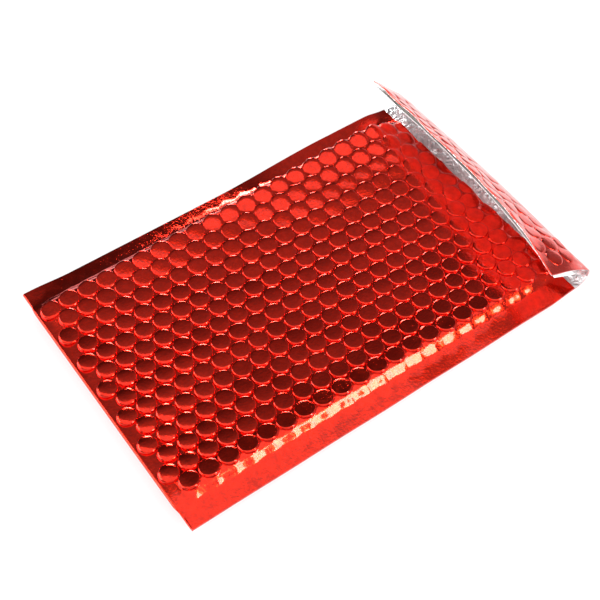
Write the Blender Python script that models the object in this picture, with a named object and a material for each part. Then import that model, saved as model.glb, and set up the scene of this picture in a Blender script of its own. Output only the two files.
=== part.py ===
"""A padded envelope of red metallised bubble film, lying flat and empty with its flap folded up over the mouth.

The envelope is one long web, folded at the bottom end and welded down both sides. Each sheet is drawn flat
first, in pattern space: x across the web, s along it and out away from its inner face. s is zero at the bottom
fold, negative on the front and positive on the back, the mouth extension and the flap. fold_up then carries
every pattern point to its place on the folded envelope: +Y runs from the bottom fold to the mouth and +Z is up.
"""

import math

import bmesh
import bpy
from mathutils import Matrix, Vector

MM = 0.001

# Envelope
WEB_WIDTH = 170 * MM
POUCH_LENGTH = 250 * MM
SIDE_SEAM = 10 * MM
SEAM_HALF = 0.2 * MM

# Bubble film
FILM = 0.4 * MM
BUBBLE_PITCH = 11.5 * MM
ROW_START = -1.8 * MM
BUBBLE_HEIGHT = 4.0 * MM
BUBBLE_SIDE = 1.3 * MM
EDGE_BUBBLE_SHARE = 0.5
FLAP_BUBBLE_SHARE = 0.45
LEAST_BUBBLE_AREA = 0.55

# Pocket, as the empty envelope holds it
POCKET_HALF = 1.9 * MM
FOLD_RADIUS = 0.9 * MM
MOUTH_HALF = 0.9 * MM
SIDE_SLOPE = 6 * MM
END_SLOPE = 12 * MM

# Flap: it leaves the mouth, bends back over it and leans towards the bottom end
EXTENSION = 12.3 * MM
FLAP_BEND = 6 * MM
FLAP_LENGTH = 34.5 * MM
RISE_LEFT = math.radians(2)
RISE_RIGHT = math.radians(84)
LEAN_LEFT = math.radians(45)
LEAN_DROP = math.radians(15.5)
LEAN_POWER = 4

# Lining, glue and its release liner
GAP = 0.3 * MM
LINING = 0.3 * MM
LINING_MARGIN = 5 * MM
GLUE = 0.3 * MM
GLUE_WIDTH = 12 * MM
GLUE_INSET = 8 * MM
GLUE_END_MARGIN = 4 * MM
RELEASE_LINER = 0.3 * MM
LINER_OVERHANG = 4 * MM

# How finely bends are cut
FOLD_CUTS = 2
EXTENSION_CUTS = 3
BEND_CUTS = 4
FLAP_CUTS = 5
WIDTH_STEP = 10.6 * MM
PATH_STEPS = 48
SNAP = 0.02 * MM

# Worked out from the sizes above
HALF_WIDTH = WEB_WIDTH / 2
POUCH_HALF_WIDTH = HALF_WIDTH - SIDE_SEAM
SEAM_Z = POCKET_HALF + FILM + BUBBLE_HEIGHT
FOLD_Y = FOLD_RADIUS + FILM
FOLD_HALF = math.pi / 2 * FOLD_RADIUS
MOUTH_S = POUCH_LENGTH - FOLD_Y + FOLD_HALF
BEND_S = MOUTH_S + EXTENSION
FLAP_S = BEND_S + FLAP_BEND
END_S = FLAP_S + FLAP_LENGTH
LINING_OUTER = -GAP
LINING_INNER = LINING_OUTER - LINING
GLUE_OUTER = LINING_INNER - GAP
GLUE_INNER = GLUE_OUTER - GLUE
LINER_OUTER = GLUE_INNER - GAP
LINER_INNER = LINER_OUTER - RELEASE_LINER

# Each bubble fills a hexagon with its points across the web. The columns lie evenly about the web's middle line,
# and a bubble that a seam, a fold or an edge cuts too small stays flat.
CORNERS = 6
CELL_RADIUS = BUBBLE_PITCH / math.sqrt(3)
COLUMN_PITCH = 1.5 * CELL_RADIUS
CELL_AREA = COLUMN_PITCH * BUBBLE_PITCH
WIDTH_CUTS = round(WEB_WIDTH / WIDTH_STEP)

ACROSS = Vector((1, 0, 0))
ALONG = Vector((0, 1, 0))


def clear_scene():
    for obj in list(bpy.data.objects):
        bpy.data.objects.remove(obj, do_unlink=True)


def share(value):
    """The value held between 0 and 1."""
    return min(max(value, 0.0), 1.0)


# Form of the folded envelope


def pocket_half(x, s):
    """Half the clear height between the inner faces of front and back."""
    to_fold = share((abs(s) - FOLD_HALF) / END_SLOPE)
    to_mouth = share((MOUTH_S - abs(s)) / END_SLOPE)
    along = min(
        FOLD_RADIUS + (POCKET_HALF - FOLD_RADIUS) * to_fold,
        MOUTH_HALF + (POCKET_HALF - MOUTH_HALF) * to_mouth,
    )
    across = share((POUCH_HALF_WIDTH - abs(x)) / SIDE_SLOPE)
    return SEAM_HALF + (along - SEAM_HALF) * across


def heading(x, s):
    """The web's slope past the mouth: it rises through the extension, turns over the bend and then runs straight."""
    u = share(x / WEB_WIDTH + 0.5)
    rise = RISE_LEFT + (RISE_RIGHT - RISE_LEFT) * u
    lean = LEAN_LEFT - LEAN_DROP * u**LEAN_POWER
    turn = math.pi - lean - rise
    return rise * share((s - MOUTH_S) / EXTENSION) + turn * share((s - BEND_S) / FLAP_BEND)


def fold_up(x, s, out):
    """The place on the folded envelope of a point of the flat pattern."""
    half = pocket_half(x, s)
    if abs(s) <= FOLD_HALF:
        angle = s / FOLD_HALF * math.pi / 2
        radius = half + out
        return Vector((x, FOLD_Y - radius * math.cos(angle), SEAM_Z - radius * math.sin(angle)))
    if s <= MOUTH_S:
        y = FOLD_Y + abs(s) - FOLD_HALF
        return Vector((x, y, SEAM_Z - math.copysign(half + out, s)))
    y = POUCH_LENGTH
    z = SEAM_Z - pocket_half(x, MOUTH_S)
    step = (s - MOUTH_S) / PATH_STEPS
    for index in range(PATH_STEPS):
        slope = heading(x, MOUTH_S + (index + 0.5) * step)
        y += math.cos(slope) * step
        z += math.sin(slope) * step
    slope = heading(x, s)
    return Vector((x, y + out * math.sin(slope), z - out * math.cos(slope)))


def bubble_height(x, s):
    """How far a bubble centred here stands: full in the panels and pressed down next to seams, folds and edges."""
    if s > FLAP_S:
        room = min(s - FLAP_S, END_S - s, HALF_WIDTH - abs(x))
        full = BUBBLE_HEIGHT * FLAP_BUBBLE_SHARE
    else:
        room = min(POUCH_HALF_WIDTH - abs(x), abs(s) - FOLD_HALF)
        full = BUBBLE_HEIGHT
        if s < 0:
            room = min(room, s + MOUTH_S)
    return full * (EDGE_BUBBLE_SHARE + (1 - EDGE_BUBBLE_SHARE) * share(room / BUBBLE_PITCH))


# Pattern space tools


def even_cuts(low, high, count):
    """The lines that split a stretch into equal parts, with both of its ends."""
    return [low + (high - low) * index / count for index in range(count + 1)]


def bend_lines():
    """The lines along the web where it has to be able to bend."""
    lines = even_cuts(-FOLD_HALF, FOLD_HALF, 2 * FOLD_CUTS)
    lines += even_cuts(MOUTH_S, BEND_S, EXTENSION_CUTS)
    return lines + even_cuts(BEND_S, FLAP_S, BEND_CUTS)[1:]


def sheet_lines():
    """The lines along the web that a plain sheet is cut on."""
    slopes = [FOLD_HALF + END_SLOPE, MOUTH_S - END_SLOPE]
    lines = bend_lines() + slopes + [-line for line in slopes]
    return lines + even_cuts(FLAP_S, END_S, FLAP_CUTS)[1:-1]


def cut(bm, normal, at, beyond=0, faces=None):
    """Cuts the sheet on a line of the pattern. beyond is 1 or -1 to drop what lies on that side of the line."""
    chosen = bm.faces[:] if faces is None else faces
    geometry = set(chosen)
    for face in chosen:
        geometry.update(face.edges)
        geometry.update(face.verts)
    bmesh.ops.bisect_plane(
        bm,
        geom=list(geometry),
        dist=SNAP,
        plane_co=normal * at,
        plane_no=normal * (beyond or 1),
        clear_outer=beyond != 0,
    )


def drop_faces(bm, wanted):
    """Deletes the faces whose middle isn't wanted."""
    unwanted = [face for face in bm.faces if not wanted(*face.calc_center_median()[:2])]
    bmesh.ops.delete(bm, geom=unwanted, context="FACES")


def in_pouch_or_past_mouth(half_width):
    """Keeps a sheet of this half width in the pouch, and all of it past the mouth."""
    return lambda x, s: s > MOUTH_S or abs(x) < half_width


def plain_sheet(x_low, x_high, s_low, s_high, across_lines, along_lines):
    """A flat sheet of the pattern, cut on those of the lines that cross it."""
    bm = bmesh.new()
    size = Matrix.Diagonal(((x_high - x_low) / 2, (s_high - s_low) / 2, 1, 1))
    middle = Matrix.Translation(((x_low + x_high) / 2, (s_low + s_high) / 2, 0))
    bmesh.ops.create_grid(bm, x_segments=1, y_segments=1, size=1, matrix=middle @ size)
    for line in across_lines:
        if x_low + SNAP < line < x_high - SNAP:
            cut(bm, ACROSS, line)
    for line in along_lines:
        if s_low + SNAP < line < s_high - SNAP:
            cut(bm, ALONG, line)
    return bm


def honeycomb(s_low, s_high):
    """A flat sheet of hexagons, one for each bubble."""
    bm = bmesh.new()
    side_columns = math.ceil(HALF_WIDTH / COLUMN_PITCH + 0.5)
    first_row = math.floor(s_low / BUBBLE_PITCH) - 1
    last_row = math.ceil(s_high / BUBBLE_PITCH) + 1
    for column in range(-side_columns, side_columns):
        x = (column + 0.5) * COLUMN_PITCH
        start = ROW_START + 0.5 * (column % 2) * BUBBLE_PITCH
        for row in range(first_row, last_row + 1):
            place = Matrix.Translation((x, start + row * BUBBLE_PITCH, 0))
            turned = Matrix.Rotation(math.pi / CORNERS, 4, "Z")
            bmesh.ops.create_circle(
                bm, cap_ends=True, segments=CORNERS, radius=CELL_RADIUS, matrix=place @ turned
            )
    bmesh.ops.remove_doubles(bm, verts=bm.verts[:], dist=SNAP)
    return bm


def line_of_points(bm, out, normal, at, low, high):
    """The points of one face of the film that lie on a line of the pattern, in order along it."""
    other = ALONG if normal is ACROSS else ACROSS
    found = []
    for vertex in bm.verts:
        on_line = abs(vertex.co.dot(normal) - at) < 2 * SNAP
        in_reach = low - SNAP < vertex.co.dot(other) < high + SNAP
        if on_line and in_reach and abs(vertex.co.z - out) < SNAP:
            found.append(vertex)
    return sorted(found, key=lambda vertex: vertex.co.dot(other))


def zip_together(bm, first, second):
    """Joins two rows of points, both ordered across the web, with a strip of triangles."""
    i, j = 0, 0
    while i < len(first) - 1 or j < len(second) - 1:
        step_first = j == len(second) - 1 or (
            i < len(first) - 1 and first[i + 1].co.x <= second[j + 1].co.x
        )
        if step_first:
            bm.faces.new((first[i], second[j], first[i + 1]))
            i += 1
        else:
            bm.faces.new((first[i], second[j], second[j + 1]))
            j += 1


# Objects


def principled(name, color, roughness, metallic, coat=0.0):
    material = bpy.data.materials.new(name)
    material.use_nodes = True
    shader = material.node_tree.nodes["Principled BSDF"]
    shader.inputs["Base Color"].default_value = (*color, 1)
    shader.inputs["Roughness"].default_value = roughness
    shader.inputs["Metallic"].default_value = metallic
    shader.inputs["Coat Weight"].default_value = coat
    return material


def folded_object(bm, name, material, collection):
    """Folds the pattern up and makes it an object."""
    for vertex in bm.verts:
        vertex.co = fold_up(*vertex.co)
    bmesh.ops.recalc_face_normals(bm, faces=bm.faces[:])
    if bm.calc_volume(signed=True) < 0:
        bmesh.ops.reverse_faces(bm, faces=bm.faces[:])
    mesh = bpy.data.meshes.new(name)
    bm.to_mesh(mesh)
    bm.free()
    mesh.materials.append(material)
    obj = bpy.data.objects.new(name, mesh)
    collection.objects.link(obj)
    return obj


def bubble_sheet():
    """The film's outer face: flat at seams and bends, with a bubble on each hexagon that keeps enough of its area."""
    bm = honeycomb(-MOUTH_S, END_S)
    cut(bm, ACROSS, HALF_WIDTH, beyond=1)
    cut(bm, ACROSS, -HALF_WIDTH, beyond=-1)
    cut(bm, ALONG, END_S, beyond=1)
    cut(bm, ALONG, -MOUTH_S, beyond=-1)
    for line in bend_lines():
        cut(bm, ALONG, line)
    for side in (-1, 1):
        pouch = [face for face in bm.faces if face.calc_center_median().y < MOUTH_S]
        cut(bm, ACROSS, side * POUCH_HALF_WIDTH, faces=pouch)
    for vertex in bm.verts:
        vertex.co.z = FILM

    def holds_a_bubble(face):
        x, s, _ = face.calc_center_median()
        flat = MOUTH_S < s < FLAP_S or (s < MOUTH_S and abs(x) > POUCH_HALF_WIDTH)
        return not flat and face.calc_area() > LEAST_BUBBLE_AREA * CELL_AREA

    tops = [face for face in bm.faces if holds_a_bubble(face)]
    bmesh.ops.inset_individual(bm, faces=tops, thickness=BUBBLE_SIDE, use_even_offset=True)
    for top in tops:
        x, s, _ = top.calc_center_median()
        for vertex in top.verts:
            vertex.co.z = FILM + bubble_height(x, s)
    return bm


def make_bubble_film(collection):
    """The whole web as one solid: its bubbled outer face, its smooth inner face and the edges between them."""
    bm = bubble_sheet()
    across_lines = even_cuts(-HALF_WIDTH, HALF_WIDTH, WIDTH_CUTS)
    for side in (-1, 1):
        across_lines += [side * POUCH_HALF_WIDTH, side * (POUCH_HALF_WIDTH - SIDE_SLOPE)]
    inner = plain_sheet(-HALF_WIDTH, HALF_WIDTH, -MOUTH_S, END_S, across_lines, sheet_lines())
    drop_faces(inner, in_pouch_or_past_mouth(POUCH_HALF_WIDTH))
    flat = bpy.data.meshes.new("inner_face")
    inner.to_mesh(flat)
    inner.free()
    bm.from_mesh(flat)
    bpy.data.meshes.remove(flat)

    def points(out, normal, at, low, high):
        return line_of_points(bm, out, normal, at, low, high)

    zip_together(
        bm,
        points(FILM, ALONG, END_S, -HALF_WIDTH, HALF_WIDTH),
        points(0, ALONG, END_S, -HALF_WIDTH, HALF_WIDTH),
    )
    mouth_rim = points(FILM, ALONG, -MOUTH_S, -POUCH_HALF_WIDTH, POUCH_HALF_WIDTH)
    mouth_rim += reversed(points(0, ALONG, -MOUTH_S, -POUCH_HALF_WIDTH, POUCH_HALF_WIDTH))
    bm.faces.new(mouth_rim)
    for side in (-1, 1):
        edge = side * HALF_WIDTH
        seam = side * POUCH_HALF_WIDTH
        side_edge = points(FILM, ACROSS, edge, -MOUTH_S, END_S)
        side_edge += reversed(points(0, ACROSS, edge, MOUTH_S, END_S))
        bm.faces.new(side_edge)
        pocket_side = points(0, ACROSS, seam, -MOUTH_S, MOUTH_S)
        bm.faces.new(pocket_side)
        low, high = min(seam, edge), max(seam, edge)
        seam_end = points(FILM, ALONG, -MOUTH_S, low, high)
        under = list(reversed(points(0, ALONG, MOUTH_S, low, high)))
        seam_end += [*under, pocket_side[0]] if side > 0 else [under[0], *under[1:]]
        if side < 0:
            seam_end.insert(len(seam_end) - len(under), pocket_side[0])
        bm.faces.new(seam_end)
    red = principled("red_metallised_film", (0.62, 0.02, 0.015), 0.18, 0.9, coat=0.6)
    return folded_object(bm, "bubble_film_envelope", red, collection)


def make_band(name, sheet, out_low, out_high, material, collection):
    """A sheet of even thickness that lies along the inner face of the web."""
    for vertex in sheet.verts:
        vertex.co.z = out_low
    grown = bmesh.ops.extrude_face_region(sheet, geom=sheet.faces[:])["geom"]
    raised = [item for item in grown if isinstance(item, bmesh.types.BMVert)]
    bmesh.ops.translate(sheet, verts=raised, vec=(0, 0, out_high - out_low))
    return folded_object(sheet, name, material, collection)


def make_lining(collection):
    """The smooth silver film: a band through the pouch that widens to the whole web past the mouth."""
    across_lines = even_cuts(-HALF_WIDTH, HALF_WIDTH, WIDTH_CUTS)
    for side in (-1, 1):
        inset = POUCH_HALF_WIDTH - LINING_MARGIN
        across_lines += [side * inset, side * POUCH_HALF_WIDTH, side * (POUCH_HALF_WIDTH - SIDE_SLOPE)]
    sheet = plain_sheet(-HALF_WIDTH, HALF_WIDTH, -MOUTH_S, END_S, across_lines, sheet_lines())
    drop_faces(sheet, in_pouch_or_past_mouth(POUCH_HALF_WIDTH - LINING_MARGIN))
    silver = principled("silver_film", (0.72, 0.70, 0.71), 0.25, 0.9)
    return make_band("inner_lining", sheet, LINING_INNER, LINING_OUTER, silver, collection)


def make_glue_and_liner(collection):
    """The glue along the flap's inner face, near its free edge, and the paper that covers it."""
    high = END_S - GLUE_INSET
    low = high - GLUE_WIDTH
    reach = HALF_WIDTH - GLUE_END_MARGIN
    across_lines = even_cuts(-HALF_WIDTH, HALF_WIDTH, WIDTH_CUTS)
    glue = plain_sheet(-reach, reach, low, high, across_lines, sheet_lines())
    clear = principled("glue", (0.86, 0.84, 0.74), 0.35, 0.0)
    paper = principled("release_paper", (0.90, 0.90, 0.88), 0.55, 0.0)
    liner = plain_sheet(
        -HALF_WIDTH,
        HALF_WIDTH,
        low - LINER_OVERHANG,
        high + LINER_OVERHANG,
        across_lines,
        sheet_lines(),
    )
    return [
        make_band("adhesive_strip", glue, GLUE_INNER, GLUE_OUTER, clear, collection),
        make_band("release_liner", liner, LINER_INNER, LINER_OUTER, paper, collection),
    ]


def stand_on_origin(objects):
    """Moves the pieces so that the origin is under the middle of their box."""
    points = [vertex.co for obj in objects for vertex in obj.data.vertices]
    low = Vector(min(point[axis] for point in points) for axis in range(3))
    high = Vector(max(point[axis] for point in points) for axis in range(3))
    middle = (low + high) / 2
    shift = Matrix.Translation((-middle.x, -middle.y, -low.z))
    for obj in objects:
        obj.data.transform(shift)


def main():
    clear_scene()
    collection = bpy.data.collections.new("padded_envelope")
    bpy.context.scene.collection.children.link(collection)
    objects = [make_bubble_film(collection), make_lining(collection)]
    objects += make_glue_and_liner(collection)
    stand_on_origin(objects)


main()
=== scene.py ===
"""Dresses the padded envelope: red metallised bubble film outside, smooth silver film inside.

The film and the lining are drawn flat first, in pattern space: x across the web, s along it and out away from
its inner face. s is zero at the bottom fold, negative on the front and positive on the back, the mouth extension
and the flap. Form.fold_up carries them to their place on the folded envelope, in the frame's own metres.
"""

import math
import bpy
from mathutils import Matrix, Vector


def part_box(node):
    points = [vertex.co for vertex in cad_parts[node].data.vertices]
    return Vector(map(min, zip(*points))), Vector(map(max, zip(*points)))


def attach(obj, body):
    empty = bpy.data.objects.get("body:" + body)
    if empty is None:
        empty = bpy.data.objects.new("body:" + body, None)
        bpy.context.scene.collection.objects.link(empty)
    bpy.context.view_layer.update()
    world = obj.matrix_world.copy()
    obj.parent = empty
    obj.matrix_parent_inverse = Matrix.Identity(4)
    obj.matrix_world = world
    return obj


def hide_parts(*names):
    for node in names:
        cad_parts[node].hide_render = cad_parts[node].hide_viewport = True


bl_info = {
    "name": "Padded envelope",
    "version": (1, 0, 0),
    "blender": (4, 5, 0),
    "location": "3D View > Sidebar > Envelope",
    "description": "Makes a padded envelope of metallised bubble film with its flap folded up",
    "category": "Object",
}

import bmesh
import bpy
import numpy as np
from bpy.props import FloatProperty, FloatVectorProperty, IntProperty, PointerProperty
from mathutils import Matrix, Vector

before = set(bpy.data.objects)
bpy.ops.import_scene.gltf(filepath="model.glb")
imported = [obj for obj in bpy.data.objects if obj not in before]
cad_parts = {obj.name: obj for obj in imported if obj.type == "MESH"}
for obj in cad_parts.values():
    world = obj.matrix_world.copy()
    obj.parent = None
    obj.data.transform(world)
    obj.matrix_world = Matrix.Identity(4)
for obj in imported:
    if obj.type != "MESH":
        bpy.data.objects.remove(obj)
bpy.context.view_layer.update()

MM = 0.001
SNAP = 0.02 * MM
CORNERS = 6
ACROSS = Vector((1, 0, 0))
ALONG = Vector((0, 1, 0))
FILM_NODE = "bubble_film_envelope"
LINING_NODE = "inner_lining"


class EnvelopeSizes(bpy.types.PropertyGroup):
    """Sizes of the folded envelope, the same as the solid parts have"""

    web_width: FloatProperty(
        name="Web width", description="Across the web, seam edge to seam edge", default=170 * MM, unit="LENGTH"
    )
    pouch_length: FloatProperty(
        name="Pouch length", description="Bottom fold to mouth", default=250 * MM, unit="LENGTH"
    )
    side_seam: FloatProperty(
        name="Side seam", description="Width of each welded seam", default=10 * MM, unit="LENGTH"
    )
    seam_half: FloatProperty(
        name="Seam core", description="Half the core of the weld", default=0.2 * MM, unit="LENGTH"
    )
    film: FloatProperty(
        name="Film", description="Thickness of the film between bubbles", default=0.4 * MM, unit="LENGTH"
    )
    bubble_pitch: FloatProperty(
        name="Bubble pitch", description="From one bubble to the next", default=11.5 * MM, unit="LENGTH"
    )
    row_start: FloatProperty(
        name="Row start", description="A row of bubbles past the bottom fold", default=-1.8 * MM, unit="LENGTH"
    )
    bubble_height: FloatProperty(
        name="Bubble height", description="How far a full bubble stands", default=4.0 * MM, unit="LENGTH"
    )
    pocket_half: FloatProperty(
        name="Pocket half", description="Half the clear height of the pocket", default=1.9 * MM, unit="LENGTH"
    )
    fold_radius: FloatProperty(
        name="Fold radius", description="Inner radius of the bottom fold", default=0.9 * MM, unit="LENGTH"
    )
    mouth_half: FloatProperty(
        name="Mouth half", description="Half the clear height at the mouth", default=0.9 * MM, unit="LENGTH"
    )
    extension: FloatProperty(
        name="Extension", description="Back panel past the mouth", default=12.3 * MM, unit="LENGTH"
    )
    flap_bend: FloatProperty(
        name="Flap bend", description="Length of web in the flap's bend", default=6 * MM, unit="LENGTH"
    )
    flap_length: FloatProperty(
        name="Flap length", description="Bend to free edge", default=34.5 * MM, unit="LENGTH"
    )
    rise_left: FloatProperty(
        name="Rise, left", description="Slope where the bend starts", default=math.radians(2), unit="ROTATION"
    )
    rise_right: FloatProperty(
        name="Rise, right", description="Slope where the bend starts", default=math.radians(84), unit="ROTATION"
    )
    lean_left: FloatProperty(
        name="Lean", description="Flap above the floor plane", default=math.radians(45), unit="ROTATION"
    )
    lean_drop: FloatProperty(
        name="Lean drop", description="How far its right end droops", default=math.radians(15.5), unit="ROTATION"
    )


class FilmLook(bpy.types.PropertyGroup):
    """Finish of the outer and inner film"""

    red: FloatVectorProperty(
        name="Red", description="Reflection of the metallised film", subtype="COLOR", default=(0.86, 0.022, 0.005)
    )
    silver: FloatVectorProperty(
        name="Silver", description="Reflection of the inner film", subtype="COLOR", default=(0.72, 0.70, 0.71)
    )
    roughness: FloatProperty(name="Roughness", description="Of the outer film", default=0.12, min=0, max=1)
    front_sides: IntProperty(
        name="Bubble sides", description="Points between two corners of a cell", default=3, min=0, max=6
    )


class StageLook(bpy.types.PropertyGroup):
    """Light levels of the studio"""

    floor: FloatVectorProperty(
        name="Floor", description="Colour of the floor", subtype="COLOR", default=(0.93, 0.93, 0.93)
    )
    world: FloatProperty(name="World", description="Level of the room's light", default=0.4, min=0)
    dark_side: FloatProperty(name="Dark side", description="Level of its dark side", default=0.07, min=0)


def share(value):
    """The values held between 0 and 1."""
    return np.clip(value, 0.0, 1.0)


def smooth(value):
    """An even rise from 0 to 1."""
    value = share(value)
    return value * value * (3 - 2 * value)


def waves(x, s, wavelength, seed):
    """Soft unevenness between about -1 and 1, with no direction of its own."""
    random = np.random.default_rng(seed)
    total = 0
    count = 7
    for _ in range(count):
        angle = random.uniform(0, math.tau)
        length = wavelength * random.uniform(0.7, 1.5)
        phase = random.uniform(0, math.tau)
        total = total + np.sin((x * math.cos(angle) + s * math.sin(angle)) * math.tau / length + phase)
    return total / math.sqrt(count) / 1.4


class Form:
    """The folded envelope's form, worked out from its sizes."""

    # The steps in which the web past the mouth is followed, and how late the flap's lean drops to its right
    PATH_STEPS = 64
    LEAN_POWER = 4
    # The middle of the last column of bubbles, in columns from the middle of the web
    LAST_COLUMN = 6.5
    # The stretch over which the pocket opens from the seams, the bottom fold and the mouth
    SIDE_SLOPE = 5 * MM
    FOLD_SLOPE = 12 * MM
    MOUTH_SLOPE = 26 * MM
    # How far the front sags in its middle, and rises at its right edge, its left edge and its left mouth corner
    SAG = 1.9 * MM
    EDGE_RISE = 1.0 * MM
    LEFT_RISE = 5.0 * MM
    MOUTH_RISE = 4.0 * MM
    # The unevenness of the front and of its mouth edge
    UNEVEN = 0.25 * MM
    EDGE_WAVE = 0.9 * MM
    # The flutes of the slopes beside the seams: size, turns for each bubble, and phase
    FLUTES = ((0.16, 1, 0), (0.08, 2.3, 1), (0.06, 3.7, 0))
    # How far the right seam droops, the flap's film ripples, and the flap's right end bulges
    SEAM_DROOP = 2.3 * MM
    RIPPLE = 1.7 * MM
    END_BULGE = 2.6 * MM
    # How high the outer film bridges the front's bubbles, and the stretch over which it comes down to the edges
    VALLEY = 2.8 * MM
    VALLEY_SLOPE = 9 * MM
    # The way and the slope in which the tops at the upper left lean
    LEAN_WAY = Vector((-0.817, -0.577, 0))
    TOP_LEAN = 0.36

    def __init__(self, sizes, box):
        self.sizes = sizes
        self.half_width = sizes.web_width / 2
        self.pouch_half_width = self.half_width - sizes.side_seam
        self.seam_z = sizes.pocket_half + sizes.film + sizes.bubble_height
        self.fold_y = sizes.fold_radius + sizes.film
        self.fold_half = math.pi / 2 * sizes.fold_radius
        self.mouth_s = sizes.pouch_length - self.fold_y + self.fold_half
        self.bend_s = self.mouth_s + sizes.extension
        self.flap_s = self.bend_s + sizes.flap_bend
        self.end_s = self.flap_s + sizes.flap_length
        self.start_y = box[0].y
        self.cell_radius = sizes.bubble_pitch / math.sqrt(3)
        self.column_pitch = 1.5 * self.cell_radius
        self.cell_area = self.column_pitch * sizes.bubble_pitch
        self.last_bubble_edge = self.LAST_COLUMN * self.column_pitch + self.cell_radius

    def pocket_half(self, x, s):
        """Half the clear height between the inner faces. The front sags in its middle and rises to its sides."""
        sizes = self.sizes
        away = np.abs(s)
        front = s < 0
        to_fold = smooth((away - self.fold_half) / self.FOLD_SLOPE)
        slope = np.where(front, self.MOUTH_SLOPE, self.FOLD_SLOPE)
        to_mouth = smooth((self.mouth_s - away) / slope)
        along = np.minimum(
            sizes.fold_radius + (sizes.pocket_half - sizes.fold_radius) * to_fold,
            sizes.mouth_half + (sizes.pocket_half - sizes.mouth_half) * to_mouth,
        )
        turns = s * math.tau / sizes.bubble_pitch
        flutes = sum(size * np.cos(rate * turns + phase) for size, rate, phase in self.FLUTES)
        flute = 1 + np.where(front, flutes, 0)
        ramp = (self.pouch_half_width - np.abs(x)) * flute / self.SIDE_SLOPE
        across = 0.5 * share(ramp) + 0.5 * smooth(ramp)
        level = (away - self.fold_half) / (self.mouth_s - self.fold_half)
        side = share(np.abs(x) / (self.pouch_half_width - self.SIDE_SLOPE))
        left = share((20 * MM - x) / (90 * MM))
        left_rise = self.LEFT_RISE * side**3 * (0.15 + 0.85 * level)
        lift = np.where(x < 0, left_rise, self.EDGE_RISE * side**6) - self.SAG * (1 - side**4)
        lift = lift + self.MOUTH_RISE * left * smooth((level - 0.4) / 0.5)
        lift = lift + self.UNEVEN * waves(x, s, 42 * MM, 3)
        edge_wave = self.EDGE_WAVE * (0.35 + waves(x, s, 17 * MM, 5))
        edge_wave = edge_wave * (1 - smooth((self.mouth_s - away) / (14 * MM)))
        lifted = np.where(front, (lift * to_fold * to_mouth + edge_wave) * across, 0)
        return sizes.seam_half + (along - sizes.seam_half) * across + lifted

    def seam_bend(self, x, s):
        """How far the side seams bend up or down out of their plane."""
        reach = (np.abs(x) - self.pouch_half_width) / self.sizes.side_seam
        level = np.abs(s) / self.mouth_s
        right = -self.SEAM_DROOP * (1 + 0.2 * waves(x, np.abs(s), 60 * MM, 7))
        at_mouth, at_corner = smooth((level - 0.5) / 0.3), smooth((0.12 - level) / 0.1)
        left = self.SEAM_DROOP * (1.6 * at_mouth + 0.7 * at_corner - 0.5)
        fade = smooth((self.mouth_s - np.abs(s)) / (16 * MM))
        return np.where(x > 0, right, left) * share(reach) * fade

    def ripple(self, x, s):
        """How far the flap's film stands out of its plane, more towards its free edge and its right end."""
        past = share((s - self.flap_s) / (self.end_s - self.flap_s))
        right_end = smooth((x - 50 * MM) / (14 * MM)) * (1 - 0.5 * smooth((x - 76 * MM) / (9 * MM)))
        bulge = self.END_BULGE * right_end * (1 - past) * smooth(past / 0.2)
        return bulge + self.RIPPLE * past * share(0.5 + 0.5 * waves(x, s, 24 * MM, 9))

    def heading(self, x, s):
        """The web's slope past the mouth."""
        sizes = self.sizes
        u = share(x / sizes.web_width + 0.5)
        rise = sizes.rise_left + (sizes.rise_right - sizes.rise_left) * u
        lean = sizes.lean_left - sizes.lean_drop * u**self.LEAN_POWER
        turn = math.pi - lean - rise
        bent = share((s - self.bend_s) / sizes.flap_bend)
        return rise * share((s - self.mouth_s) / sizes.extension) + turn * bent

    def fold_up(self, points):
        """Pattern points, one row each, carried to the folded envelope."""
        x, s, out = points.T
        out = out + self.ripple(x, s)
        half = self.pocket_half(x, s)
        folded = np.empty_like(points)
        folded[:, 0] = x
        turned = s / self.fold_half * math.pi / 2
        in_fold = np.abs(s) <= self.fold_half
        in_pouch = s <= self.mouth_s
        flat_y = self.fold_y + np.abs(s) - self.fold_half
        fold_y = self.fold_y - (half + out) * np.cos(turned)
        fold_z = self.seam_z - (half + out) * np.sin(turned)
        flat_z = self.seam_z - np.copysign(half + out, s)
        y = np.full_like(x, self.sizes.pouch_length)
        z = self.seam_z - self.pocket_half(x, np.full_like(x, self.mouth_s))
        step = np.maximum(s - self.mouth_s, 0) / self.PATH_STEPS
        for index in range(self.PATH_STEPS):
            slope = self.heading(x, self.mouth_s + (index + 0.5) * step)
            y += np.cos(slope) * step
            z += np.sin(slope) * step
        slope = self.heading(x, s)
        flap_y = y + out * np.sin(slope)
        flap_z = z - out * np.cos(slope)
        flat_z = flat_z + self.seam_bend(x, s)
        folded[:, 1] = np.where(in_fold, fold_y, np.where(in_pouch, flat_y, flap_y)) + self.start_y
        folded[:, 2] = np.where(in_fold, fold_z, np.where(in_pouch, flat_z, flap_z))
        return folded

    def bubble_height(self, x, s):
        """How far a bubble centred here stands."""
        full = self.sizes.bubble_height
        pitch = self.sizes.bubble_pitch
        if s > self.flap_s:
            room = min(s - self.flap_s, self.end_s - s, self.half_width - abs(x))
            return full * (0.06 + 0.1 * float(share(room / pitch)))
        room = min(self.pouch_half_width - abs(x), abs(s) - self.fold_half)
        height = full * (0.6 + 0.4 * float(share(room / pitch)))
        if s < 0:
            height -= float(self.valley(x, s))
            height *= 0.2 + 0.8 * float(smooth((s + self.mouth_s - 0.2 * pitch) / (1.3 * pitch)))
        return height

    def valley(self, x, s):
        """How far the film between the front's bubbles stands off the inner face: the outer film bridges them."""
        room = np.minimum(self.pouch_half_width - np.abs(x), np.minimum(-s - self.fold_half, self.mouth_s + s))
        bridged = np.where(s < 0, smooth((room - 0.5 * MM) / self.VALLEY_SLOPE), 0)
        return self.VALLEY * (1 - 0.5 * self.plumpness(x, s)) * bridged

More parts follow.
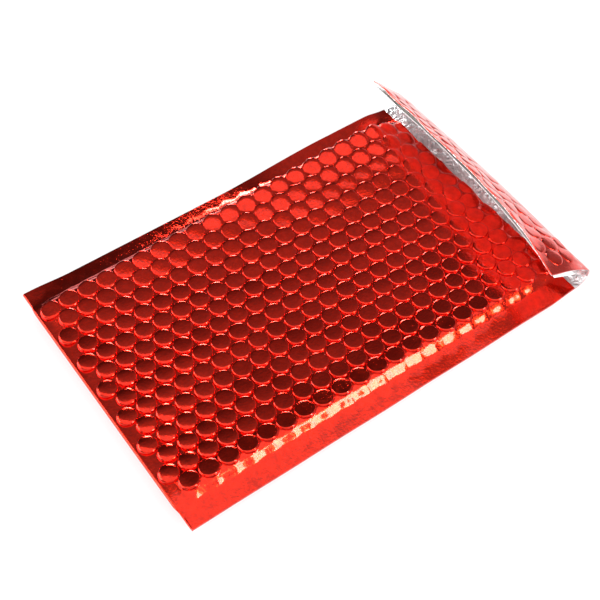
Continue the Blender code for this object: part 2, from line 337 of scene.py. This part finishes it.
    def plumpness(self, x, s):
        """From 0 to 1 towards the bottom right of the front, where the bubbles are full and round."""
        right, low = share((x + 75 * MM) / (100 * MM)), share((72 * MM + s) / (60 * MM))
        return right * low * (1 - 0.8 * smooth((x - 56 * MM) / (8 * MM)))

    def roundness(self, x, s):
        """How domed a bubble centred here is, from 0 for a flat top to 1."""
        if s > self.flap_s:
            return 0.8
        if s > 0:
            return 0.2
        return 0.08 + 0.6 * float(self.plumpness(x, s))

    def leftness(self, x, s):
        """From 0 to 1 towards the top left of the front, where the stuffed film leans to the bottom right."""
        if s > 0:
            return 0.0
        return float(share((35 * MM - x) / (100 * MM)) ** 1.5 * share((-s - 20 * MM) / (200 * MM)))

    def top_tilt(self, x, s):
        """The fall of a bubble's top in pattern space."""
        return self.LEAN_WAY * (self.TOP_LEAN * self.leftness(x, s))

    def crown(self, x, s):
        """How much of a bubble's height its top falls from middle to rim."""
        return 0.06 + 0.65 * self.leftness(x, s) ** 0.6


def even_cuts(low, high, count):
    """The lines that split a stretch into equal parts, with both of its ends."""
    return [low + (high - low) * index / count for index in range(count + 1)]


def bend_lines(form, fold_cuts, extension_cuts, bend_cuts):
    """The lines along the web where it has to be able to bend."""
    lines = even_cuts(-form.fold_half, form.fold_half, 2 * fold_cuts)
    lines += even_cuts(form.mouth_s, form.bend_s, extension_cuts)
    return lines + even_cuts(form.bend_s, form.flap_s, bend_cuts)[1:]


def cut(bm, normal, at, beyond=0, faces=None):
    """Cuts the sheet on a line of the pattern. beyond is 1 or -1 to drop what lies on that side of the line.

    The sheet's elements are handed over in a fixed order, because a set would change theirs from run to run.
    """
    chosen = bm.faces[:] if faces is None else faces
    geometry = dict.fromkeys(chosen)
    for face in chosen:
        geometry.update(dict.fromkeys((*face.edges, *face.verts)))
    bmesh.ops.bisect_plane(
        bm,
        geom=list(geometry),
        dist=SNAP,
        plane_co=normal * at,
        plane_no=normal * (beyond or 1),
        clear_outer=beyond != 0,
    )


def plain_sheet(x_low, x_high, s_low, s_high, across_lines, along_lines):
    """A flat sheet of the pattern, cut on those of the lines that cross it."""
    bm = bmesh.new()
    size = Matrix.Diagonal(((x_high - x_low) / 2, (s_high - s_low) / 2, 1, 1))
    middle = Matrix.Translation(((x_low + x_high) / 2, (s_low + s_high) / 2, 0))
    bmesh.ops.create_grid(bm, x_segments=1, y_segments=1, size=1, matrix=middle @ size)
    for line in across_lines:
        if x_low + SNAP < line < x_high - SNAP:
            cut(bm, ACROSS, line)
    for line in along_lines:
        if s_low + SNAP < line < s_high - SNAP:
            cut(bm, ALONG, line)
    return bm


def drop_seam_faces(bm, form, half_width):
    """Leaves a sheet this half width in the pouch and its whole width past the mouth."""
    unwanted = []
    for face in bm.faces:
        x, s, _ = face.calc_center_median()
        if s < form.mouth_s and abs(x) > half_width:
            unwanted.append(face)
    bmesh.ops.delete(bm, geom=unwanted, context="FACES")


def honeycomb(form):
    """A flat sheet of hexagons, one for each bubble."""
    bm = bmesh.new()
    pitch = form.sizes.bubble_pitch
    side_columns = math.ceil(form.half_width / form.column_pitch + 0.5)
    first_row = math.floor(-form.mouth_s / pitch) - 1
    last_row = math.ceil(form.end_s / pitch) + 1
    for column in range(-side_columns, side_columns):
        x = (column + 0.5) * form.column_pitch
        start = form.sizes.row_start + 0.5 * (column % 2) * pitch
        for row in range(first_row, last_row + 1):
            place = Matrix.Translation((x, start + row * pitch, 0))
            turned = Matrix.Rotation(math.pi / CORNERS, 4, "Z")
            bmesh.ops.create_circle(
                bm, cap_ends=True, segments=CORNERS, radius=form.cell_radius, matrix=place @ turned
            )
    bmesh.ops.remove_doubles(bm, verts=bm.verts[:], dist=SNAP)
    return bm


def cell_centre(form, x, s):
    """The middle of the whole hexagon that holds this point."""
    best = None
    pitch = form.sizes.bubble_pitch
    near_column = round(x / form.column_pitch - 0.5)
    for column in (near_column - 1, near_column, near_column + 1):
        start = form.sizes.row_start + 0.5 * (column % 2) * pitch
        row = round((s - start) / pitch)
        centre = Vector(((column + 0.5) * form.column_pitch, start + row * pitch, 0))
        away = (centre - Vector((x, s, 0))).length
        if best is None or away < best[0]:
            best = (away, centre)
    return best[1]


# The share of a bubble's radius at which each of its rings lies, and a bubble's radius as a share of the pitch
FINE_RINGS = (1.0, 0.99, 0.97, 0.945, 0.91, 0.87, 0.81, 0.68, 0.35)
PLAIN_RINGS = (1.0, 0.97, 0.88, 0.7)
BUBBLE_SHARE = 0.49

# A cell with less than this share of its area left gets no bubble
LEAST_CELL = 0.55

# Bubbles differ this much in place, height, radius and the slope of their tops
UNEVEN_PLACE = 0.07 * MM
UNEVEN_HEIGHT = 0.04
UNEVEN_RADIUS = 0.008
UNEVEN_SLOPE = 0.012


def section(ring_share, roundness, crown):
    """A bubble's height at a share of its radius: a flat top with a round rim, or a dome."""
    flat = math.sqrt(1 - ring_share**18) * (1 - crown * ring_share**2)
    dome = math.sqrt(1 - ring_share**2.4)
    return flat + (dome - flat) * roundness


def raise_bubbles(bm, form, cells, rings, random):
    """Turns flat cells into round bubbles, ring by ring, from their outline to their top.

    The film between the bubbles may slope, and the tops stay level, at the height that their own middle gives.
    """
    outlines = {}
    for face in cells:
        x, s, _ = face.calc_center_median()
        centre = cell_centre(form, x, s)
        sway = Vector((random.normal(0, UNEVEN_PLACE), random.normal(0, UNEVEN_PLACE), 0))
        height = form.bubble_height(centre.x, s) * (1 + random.normal(0, UNEVEN_HEIGHT))
        middle = float(form.valley(centre.x, s))
        radius = BUBBLE_SHARE * form.sizes.bubble_pitch * (1 + random.normal(0, UNEVEN_RADIUS))
        tilt = form.top_tilt(x, s) + Vector((random.normal(0, UNEVEN_SLOPE), random.normal(0, UNEVEN_SLOPE), 0))
        shape = (form.roundness(x, s), form.crown(x, s))
        outlines[face] = (centre + sway, height, middle, radius, tilt, shape, [v.co.copy() for v in face.verts])
    for ring_share in rings:
        bmesh.ops.inset_individual(bm, faces=cells, thickness=0.1 * MM, use_even_offset=True)
        for face, (centre, height, middle, radius, tilt, shape, outline) in outlines.items():
            raised = section(ring_share, *shape)
            rise = height * raised
            for vertex, edge_point in zip(face.verts, outline):
                reach = Vector((edge_point.x - centre.x, edge_point.y - centre.y, 0))
                length = max(reach.length, SNAP)
                wanted = min(radius, 0.985 * length) * ring_share
                offset = reach * (wanted / length)
                level = rise + offset.dot(tilt) * rise / max(height, SNAP)
                place = centre + offset
                base = float(form.valley(place.x, place.y))
                base += (middle - base) * min(1.0, raised * 1.15)
                vertex.co = (place.x, place.y, form.sizes.film + base + level)


def line_of_points(bm, out, normal, at, low, high):
    """The points of one face of the film that lie on a line of the pattern, in order along it."""
    other = ALONG if normal is ACROSS else ACROSS
    found = []
    for vertex in bm.verts:
        on_line = abs(vertex.co.dot(normal) - at) < 2 * SNAP
        in_reach = low - SNAP < vertex.co.dot(other) < high + SNAP
        if on_line and in_reach and abs(vertex.co.z - out) < SNAP:
            found.append(vertex)
    return sorted(found, key=lambda vertex: vertex.co.dot(other))


def zip_together(bm, first, second):
    """Joins two rows of points, both ordered across the web, with a strip of triangles."""
    i, j = 0, 0
    while i < len(first) - 1 or j < len(second) - 1:
        step_first = j == len(second) - 1 or (
            i < len(first) - 1 and first[i + 1].co.x <= second[j + 1].co.x
        )
        if step_first:
            bm.faces.new((first[i], second[j], first[i + 1]))
            i += 1
        else:
            bm.faces.new((first[i], second[j], second[j + 1]))
            j += 1


def close_film(bm, form):
    """Closes the edges between the film's bubbled outer face and its smooth inner face."""
    film = form.sizes.film
    across, seam = form.half_width, form.pouch_half_width
    mouth, end = form.mouth_s, form.end_s
    zip_together(
        bm,
        line_of_points(bm, film, ALONG, end, -across, across),
        line_of_points(bm, 0, ALONG, end, -across, across),
    )
    zip_together(
        bm,
        line_of_points(bm, film, ALONG, -mouth, -seam, seam),
        line_of_points(bm, 0, ALONG, -mouth, -seam, seam),
    )
    for side in (-1, 1):
        side_edge = line_of_points(bm, film, ACROSS, side * across, -mouth, end)
        side_edge += reversed(line_of_points(bm, 0, ACROSS, side * across, mouth, end))
        bm.faces.new(side_edge)
        pocket_side = line_of_points(bm, 0, ACROSS, side * seam, -mouth, mouth)
        bm.faces.new(pocket_side)
        low, high = sorted((side * seam, side * across))
        top = line_of_points(bm, film, ALONG, -mouth, low, high)
        under = line_of_points(bm, 0, ALONG, mouth, low, high)
        if side > 0:
            ring = top + list(reversed(under)) + [pocket_side[0]]
        else:
            ring = list(reversed(top)) + under + [pocket_side[0]]
        bm.faces.new(ring)


# Edges that turn more than this are kept sharp
SHARP_FROM = math.radians(48)


def folded_object(bm, form, name, material):
    """Folds the pattern up and makes it an object whose faces point out."""
    flat = np.array([vertex.co for vertex in bm.verts])
    for vertex, place in zip(bm.verts, form.fold_up(flat)):
        vertex.co = place
    bmesh.ops.recalc_face_normals(bm, faces=bm.faces[:])
    if bm.calc_volume(signed=True) < 0:
        bmesh.ops.reverse_faces(bm, faces=bm.faces[:])
    mesh = bpy.data.meshes.new(name)
    bm.to_mesh(mesh)
    bm.free()
    mesh.shade_smooth()
    mesh.set_sharp_from_angle(angle=SHARP_FROM)
    mesh.materials.append(material)
    obj = bpy.data.objects.new(name, mesh)
    bpy.context.scene.collection.objects.link(obj)
    return obj


# How often the slope beside a seam is cut, across it and along it, and the seed of the bubbles' unevenness
SLOPE_CUTS = 3
FLUTE_CUTS = 120
BUBBLE_SEED = 11


def across_cuts(form, count, extra=()):
    """The lines across the web that a plain sheet is cut on."""
    lines = even_cuts(-form.half_width, form.half_width, count)
    for side in (-1, 1):
        lines += [side * form.pouch_half_width, *(side * line for line in extra)]
    return lines


def sheet_cuts(form):
    """The lines along the web that a plain sheet is cut on."""
    lines = bend_lines(form, 4, 8, 8)
    lines += even_cuts(-form.mouth_s, form.mouth_s, 40)[1:-1]
    for sign in (-1, 1):
        lines += [sign * line for line in even_cuts(form.fold_half, form.fold_half + form.FOLD_SLOPE, 4)[1:]]
        lines += [sign * line for line in even_cuts(form.mouth_s - form.MOUTH_SLOPE, form.mouth_s, 6)[:-1]]
    return lines + even_cuts(form.flap_s, form.end_s, 8)[1:-1]


def pouch_faces(bm, form, away):
    """The pouch's faces whose middle answers this test of its place across the web."""
    chosen = []
    for face in bm.faces:
        x, s, _ = face.calc_center_median()
        if s < form.mouth_s and away(x):
            chosen.append(face)
    return chosen


def cut_side_slopes(bm, form):
    """Cuts the film closely beside the side seams, where it bends down to them in flutes."""
    edge = form.last_bubble_edge
    for side in (-1, 1):
        cut(bm, ACROSS, side * form.pouch_half_width, faces=pouch_faces(bm, form, lambda x: True))
        for line in even_cuts(edge, form.pouch_half_width, SLOPE_CUTS)[:-1]:
            outer = pouch_faces(bm, form, lambda x: side * x > edge - form.column_pitch)
            cut(bm, ACROSS, side * line, faces=outer)
    for line in even_cuts(-form.mouth_s, 0, FLUTE_CUTS)[1:-1]:
        cut(bm, ALONG, line, faces=pouch_faces(bm, form, lambda x: abs(x) > edge))


def bubble_cells(bm, form):
    """The whole cells that get a bubble: those that show from above, and the plainer ones of the back."""
    fine, plain = [], []
    for face in bm.faces:
        x, s, _ = face.calc_center_median()
        flat = form.mouth_s < s < form.flap_s or (s < form.mouth_s and abs(x) > form.pouch_half_width)
        if flat or face.calc_area() < LEAST_CELL * form.cell_area:
            continue
        seen = s < 0 or s > form.mouth_s
        (fine if seen else plain).append(face)
    return fine, plain


def bubble_face(form, look):
    """The film's outer face: flat at seams and bends, with a bubble on each cell that is whole enough."""
    bm = honeycomb(form)
    cut(bm, ACROSS, form.half_width, beyond=1)
    cut(bm, ACROSS, -form.half_width, beyond=-1)
    cut(bm, ALONG, form.end_s, beyond=1)
    cut(bm, ALONG, -form.mouth_s, beyond=-1)
    for line in bend_lines(form, 4, 8, 8):
        cut(bm, ALONG, line)
    cut_side_slopes(bm, form)
    fine, plain = bubble_cells(bm, form)
    fine_edges = dict.fromkeys(edge for face in fine for edge in face.edges)
    plain_edges = dict.fromkeys(edge for face in plain for edge in face.edges if edge not in fine_edges)
    bmesh.ops.bisect_edges(bm, edges=list(fine_edges), cuts=look.front_sides)
    bmesh.ops.bisect_edges(bm, edges=list(plain_edges), cuts=1)
    for vertex in bm.verts:
        vertex.co.z = form.sizes.film + float(form.valley(vertex.co.x, vertex.co.y))
    random = np.random.default_rng(BUBBLE_SEED)
    raise_bubbles(bm, form, fine, FINE_RINGS, random)
    raise_bubbles(bm, form, plain, PLAIN_RINGS, random)
    return bm


# The mottling's scale as a share of the creases' own, and what it does to colour and roughness
MOTTLE_SCALE = 0.35
MOTTLE_DARK = 0.72
MOTTLE_ROUGH = (1.6, 0.7)


def wrinkle_group():
    """Fine creases of thin film, as a height, and a coarser mottling from 0 to 1."""
    group = bpy.data.node_groups.new("film_wrinkles", "ShaderNodeTree")
    for name, default in (("Scale", 700.0), ("Crease", 0.5)):
        socket = group.interface.new_socket(name=name, in_out="INPUT", socket_type="NodeSocketFloat")
        socket.default_value = default
    for name in ("Height", "Mottle"):
        group.interface.new_socket(name=name, in_out="OUTPUT", socket_type="NodeSocketFloat")
    nodes, links = group.nodes, group.links
    inputs, outputs = nodes.new("NodeGroupInput"), nodes.new("NodeGroupOutput")
    place = nodes.new("ShaderNodeTexCoord")
    soft = nodes.new("ShaderNodeTexNoise")
    soft.inputs["Detail"].default_value = 3.0
    creased = nodes.new("ShaderNodeTexVoronoi")
    creased.feature = "DISTANCE_TO_EDGE"
    twisted = nodes.new("ShaderNodeVectorMath")
    twisted.operation = "MULTIPLY_ADD"
    twisted.inputs[1].default_value = (0.003, 0.003, 0.003)
    mottle = nodes.new("ShaderNodeTexNoise")
    mottle.inputs["Detail"].default_value = 6.0
    mottle.inputs["Roughness"].default_value = 0.65
    coarser = nodes.new("ShaderNodeMath")
    coarser.operation = "MULTIPLY"
    coarser.inputs[1].default_value = MOTTLE_SCALE
    mask = nodes.new("ShaderNodeMapRange")
    mask.inputs["From Min"].default_value = 0.35
    mask.inputs["From Max"].default_value = 0.62
    mix = nodes.new("ShaderNodeMath")
    mix.operation = "MULTIPLY_ADD"
    links.new(inputs.outputs["Scale"], coarser.inputs[0])
    links.new(coarser.outputs["Value"], mottle.inputs["Scale"])
    links.new(place.outputs["Object"], mottle.inputs["Vector"])
    links.new(mottle.outputs["Fac"], mask.inputs["Value"])
    links.new(mask.outputs["Result"], outputs.inputs["Mottle"])
    links.new(place.outputs["Object"], soft.inputs["Vector"])
    links.new(inputs.outputs["Scale"], soft.inputs["Scale"])
    links.new(soft.outputs["Color"], twisted.inputs[0])
    links.new(place.outputs["Object"], twisted.inputs[2])
    links.new(twisted.outputs["Vector"], creased.inputs["Vector"])
    links.new(inputs.outputs["Scale"], creased.inputs["Scale"])
    links.new(creased.outputs["Distance"], mix.inputs[0])
    links.new(inputs.outputs["Crease"], mix.inputs[1])
    links.new(soft.outputs["Fac"], mix.inputs[2])
    links.new(mix.outputs["Value"], outputs.inputs["Height"])
    return group


def film_material(name, color, roughness, coat, scale, crease, depth):
    """Metallised film: a coloured mirror with fine creases of this scale and depth, and a mottled face."""
    material = bpy.data.materials.new(name)
    material.use_nodes = True
    nodes, links = material.node_tree.nodes, material.node_tree.links
    shader = nodes["Principled BSDF"]
    shader.inputs["Metallic"].default_value = 1.0
    shader.inputs["Coat Weight"].default_value = coat
    shader.inputs["Coat Roughness"].default_value = 0.06
    creases = nodes.new("ShaderNodeGroup")
    creases.node_tree = bpy.data.node_groups.get("film_wrinkles") or wrinkle_group()
    creases.inputs["Scale"].default_value = scale
    creases.inputs["Crease"].default_value = crease
    relief = nodes.new("ShaderNodeBump")
    relief.inputs["Strength"].default_value = 1.0
    relief.inputs["Distance"].default_value = depth
    shade = nodes.new("ShaderNodeMix")
    shade.data_type = "RGBA"
    shade.inputs["A"].default_value = (*(MOTTLE_DARK * part for part in color), 1)
    shade.inputs["B"].default_value = (*color, 1)
    haze = nodes.new("ShaderNodeMapRange")
    haze.inputs["To Min"].default_value, haze.inputs["To Max"].default_value = (
        factor * roughness for factor in MOTTLE_ROUGH
    )
    links.new(creases.outputs["Mottle"], shade.inputs["Factor"])
    links.new(shade.outputs["Result"], shader.inputs["Base Color"])
    links.new(creases.outputs["Mottle"], haze.inputs["Value"])
    links.new(haze.outputs["Result"], shader.inputs["Roughness"])
    links.new(creases.outputs["Height"], relief.inputs["Height"])
    links.new(relief.outputs["Normal"], shader.inputs["Normal"])
    return material


def current_form():
    """The form with the sizes that the scene has now."""
    return Form(bpy.context.scene.envelope_sizes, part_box(FILM_NODE))


class ENVELOPE_OT_bubble_film(bpy.types.Operator):
    """Makes the bubbled outer film"""

    bl_idname = "envelope.bubble_film"
    bl_label = "Bubble film"

    def execute(self, context):
        form, look = current_form(), context.scene.envelope_film
        bm = bubble_face(form, look)
        slope_lines = even_cuts(form.pouch_half_width - form.SIDE_SLOPE, form.pouch_half_width, 4)
        lines = across_cuts(form, 24, slope_lines)
        inner = plain_sheet(
            -form.half_width, form.half_width, -form.mouth_s, form.end_s, lines, sheet_cuts(form)
        )
        drop_seam_faces(inner, form, form.pouch_half_width)
        flat = bpy.data.meshes.new("inner_face")
        inner.to_mesh(flat)
        inner.free()
        bm.from_mesh(flat)
        bpy.data.meshes.remove(flat)
        close_film(bm, form)
        red = film_material("red_metallised_film", look.red, look.roughness, 0.4, 700, 0.3, 0.1 * MM)
        film = folded_object(bm, form, "bubble_film", red)
        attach(film, "root")
        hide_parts(FILM_NODE)
        return {"FINISHED"}


class ENVELOPE_OT_lining(bpy.types.Operator):
    """Makes the smooth silver lining"""

    bl_idname = "envelope.lining"
    bl_label = "Silver lining"

    def execute(self, context):
        form, look = current_form(), context.scene.envelope_film
        margin = form.pouch_half_width - 6 * MM
        lines = across_cuts(form, 48, (margin,))
        sheet = plain_sheet(
            -form.half_width, form.half_width, -form.mouth_s, form.end_s, lines, sheet_cuts(form)
        )
        drop_seam_faces(sheet, form, margin)
        for vertex in sheet.verts:
            vertex.co.z = -0.3 * MM
        grown = bmesh.ops.extrude_face_region(sheet, geom=sheet.faces[:])["geom"]
        raised = [item for item in grown if isinstance(item, bmesh.types.BMVert)]
        bmesh.ops.translate(sheet, verts=raised, vec=(0, 0, 0.28 * MM))
        silver = film_material("silver_film", look.silver, 0.3, 0.0, 260, 1.5, 0.9 * MM)
        lining = folded_object(sheet, form, "silver_lining", silver)
        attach(lining, "root")
        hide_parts(LINING_NODE)
        return {"FINISHED"}


def plain_material(name, color, roughness, bump):
    """Glue or paper, with a fine grain."""
    material = bpy.data.materials.new(name)
    material.use_nodes = True
    nodes, links = material.node_tree.nodes, material.node_tree.links
    shader = nodes["Principled BSDF"]
    shader.inputs["Base Color"].default_value = (*color, 1)
    shader.inputs["Roughness"].default_value = roughness
    place = nodes.new("ShaderNodeTexCoord")
    grain = nodes.new("ShaderNodeTexNoise")
    grain.inputs["Scale"].default_value = 900.0
    relief = nodes.new("ShaderNodeBump")
    relief.inputs["Strength"].default_value = bump
    relief.inputs["Distance"].default_value = 0.1 * MM
    links.new(place.outputs["Object"], grain.inputs["Vector"])
    links.new(grain.outputs["Fac"], relief.inputs["Height"])
    links.new(relief.outputs["Normal"], shader.inputs["Normal"])
    return material


class ENVELOPE_OT_glue_and_liner(bpy.types.Operator):
    """Finishes the glue band and its release liner"""

    bl_idname = "envelope.glue_and_liner"
    bl_label = "Glue and release liner"

    def execute(self, context):
        glue = plain_material("glue", (0.86, 0.84, 0.74), 0.3, 0.3)
        paper = plain_material("release_paper", (0.90, 0.90, 0.89), 0.5, 0.2)
        for node, material in (("adhesive_strip", glue), ("release_liner", paper)):
            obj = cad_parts[node]
            obj.data.materials.clear()
            obj.data.materials.append(material)
        return {"FINISHED"}


def area_light(name, azimuth, elevation, distance, size, radiance):
    """A soft box that faces the envelope from this direction, with this much light from each part of it."""
    lamp = bpy.data.lights.new(name, "AREA")
    lamp.shape = "RECTANGLE"
    lamp.size, lamp.size_y = size
    lamp.energy = radiance * math.pi * size[0] * size[1]
    turn, tilt = math.radians(azimuth), math.radians(elevation)
    flat = Vector((math.cos(turn), math.sin(turn), 0))
    place = (flat * math.cos(tilt) + Vector((0, 0, math.sin(tilt)))) * distance
    obj = bpy.data.objects.new(name, lamp)
    obj.location = place
    obj.rotation_mode = "QUATERNION"
    obj.rotation_quaternion = place.to_track_quat("Z", "Y")
    bpy.context.scene.collection.objects.link(obj)
    return obj


class ENVELOPE_OT_stage(bpy.types.Operator):
    """Sets the floor, the light and the camera"""

    bl_idname = "envelope.stage"
    bl_label = "Stage"

    def execute(self, context):
        scene, look = context.scene, context.scene.envelope_stage
        scene.view_settings.view_transform = "Standard"
        bm = bmesh.new()
        bmesh.ops.create_grid(bm, x_segments=1, y_segments=1, size=3)
        mesh = bpy.data.meshes.new("floor")
        bm.to_mesh(mesh)
        bm.free()
        floor = bpy.data.objects.new("floor", mesh)
        scene.collection.objects.link(floor)
        floor.data.materials.append(self.floor_material(look))
        self.set_world(scene, look)
        self.set_lights()
        self.set_camera(scene)
        return {"FINISHED"}

    def floor_material(self, look):
        """A pale floor that the camera and the film see nearly white, with the envelope's shadow on it."""
        material = bpy.data.materials.new("floor")
        material.use_nodes = True
        nodes, links = material.node_tree.nodes, material.node_tree.links
        shader = nodes["Principled BSDF"]
        shader.inputs["Base Color"].default_value = (*look.floor, 1)
        shader.inputs["Roughness"].default_value = 0.9
        rays = nodes.new("ShaderNodeLightPath")
        glossy, seen = nodes.new("ShaderNodeMath"), nodes.new("ShaderNodeMath")
        glossy.operation = seen.operation = "MAXIMUM"
        part = nodes.new("ShaderNodeMath")
        part.operation = "MULTIPLY"
        part.inputs[1].default_value = WHITE_SHARE
        white, mix = nodes.new("ShaderNodeEmission"), nodes.new("ShaderNodeMixShader")
        links.new(rays.outputs["Is Camera Ray"], glossy.inputs[0])
        links.new(rays.outputs["Is Glossy Ray"], glossy.inputs[1])
        links.new(glossy.outputs["Value"], seen.inputs[0])
        links.new(rays.outputs["Is Transmission Ray"], seen.inputs[1])
        links.new(seen.outputs["Value"], part.inputs[0])
        links.new(part.outputs["Value"], mix.inputs[0])
        links.new(shader.outputs["BSDF"], mix.inputs[1])
        links.new(white.outputs["Emission"], mix.inputs[2])
        links.new(mix.outputs["Shader"], nodes["Material Output"].inputs["Surface"])
        return material

    def set_world(self, scene, look):
        """An even room that is darker towards one side, which the tops of the bubbles reflect."""
        world = bpy.data.worlds.new("room")
        scene.world = world
        world.use_nodes = True
        nodes, links = world.node_tree.nodes, world.node_tree.links
        back = nodes["Background"]
        back.inputs["Color"].default_value = (1, 1, 1, 1)
        place = nodes.new("ShaderNodeTexCoord")
        towards = nodes.new("ShaderNodeVectorMath")
        towards.operation = "DOT_PRODUCT"
        towards.inputs[1].default_value = DARK_SIDE
        level = nodes.new("ShaderNodeMapRange")
        level.inputs["From Min"].default_value, level.inputs["From Max"].default_value = DARK_EDGES
        level.inputs["To Min"].default_value = look.world
        level.inputs["To Max"].default_value = look.dark_side
        links.new(place.outputs["Generated"], towards.inputs[0])
        links.new(towards.outputs["Value"], level.inputs["Value"])
        links.new(level.outputs["Result"], back.inputs["Strength"])

    def set_lights(self):
        for lamp in LAMPS:
            area_light(*lamp)

    def set_camera(self, scene):
        """The camera that the four seam corners of the photograph give."""
        data = bpy.data.cameras.new("camera")
        data.lens = CAMERA_LENS
        data.sensor_width = 36
        camera = bpy.data.objects.new("camera", data)
        axes = Matrix(CAMERA_AXES).transposed()
        place = Vector(CAMERA_PLACE) * MM + Vector((0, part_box(FILM_NODE)[0].y, 0))
        camera.matrix_world = Matrix.Translation(place) @ axes.to_4x4()
        scene.collection.objects.link(camera)
        scene.camera = camera


# Each lamp's name, azimuth and elevation in degrees, distance, size in metres and brightness
LAMPS = (
    ("overhead", -35, 67, 1.3, (2.5, 1.7), 1.05),
    ("behind_camera", -35, 20, 1.6, (1.6, 0.6), 0.8),
    ("right", 24, 25, 1.4, (0.36, 0.9), 21),
    ("far_left", 152, 20, 1.3, (0.36, 0.34), 26),
    ("low_front", -121, 21, 1.3, (1.1, 0.8), 5.5),
)

# The share of plain white in the floor as the camera and the film see it
WHITE_SHARE = 0.6

# The way to the dark side of the room, and how near to it the dark starts and is full
DARK_EDGES = (0.66, 0.90)
DARK_SIDE = (-0.90, 0.32, 0.29)

# The camera's place in millimetres from the middle of the bottom fold, and its right, up and back directions
CAMERA_LENS = 70.611
CAMERA_PLACE = (313.65, -104.40, 519.02)
CAMERA_AXES = ((0.58191, 0.81321, 0.00843), (-0.65420, 0.46192, 0.59888), (0.48313, -0.35401, 0.80079))


class ENVELOPE_PT_pieces(bpy.types.Panel):
    """Lists the pieces and the stage"""

    bl_label = "Padded envelope"
    bl_idname = "ENVELOPE_PT_pieces"
    bl_space_type = "VIEW_3D"
    bl_region_type = "UI"
    bl_category = "Envelope"

    def draw(self, context):
        for step in STEPS:
            self.layout.operator(step.bl_idname)


STEPS = (ENVELOPE_OT_bubble_film, ENVELOPE_OT_lining, ENVELOPE_OT_glue_and_liner, ENVELOPE_OT_stage)
CLASSES = (EnvelopeSizes, FilmLook, StageLook, *STEPS, ENVELOPE_PT_pieces)


def register():
    for cls in CLASSES:
        bpy.utils.register_class(cls)
    bpy.types.Scene.envelope_sizes = PointerProperty(type=EnvelopeSizes)
    bpy.types.Scene.envelope_film = PointerProperty(type=FilmLook)
    bpy.types.Scene.envelope_stage = PointerProperty(type=StageLook)


def unregister():
    del bpy.types.Scene.envelope_stage
    del bpy.types.Scene.envelope_film
    del bpy.types.Scene.envelope_sizes
    for cls in reversed(CLASSES):
        bpy.utils.unregister_class(cls)


def main():
    register()
    bpy.ops.envelope.bubble_film()
    bpy.ops.envelope.lining()
    bpy.ops.envelope.glue_and_liner()
    bpy.ops.envelope.stage()


if __name__ == "__main__":
    main()
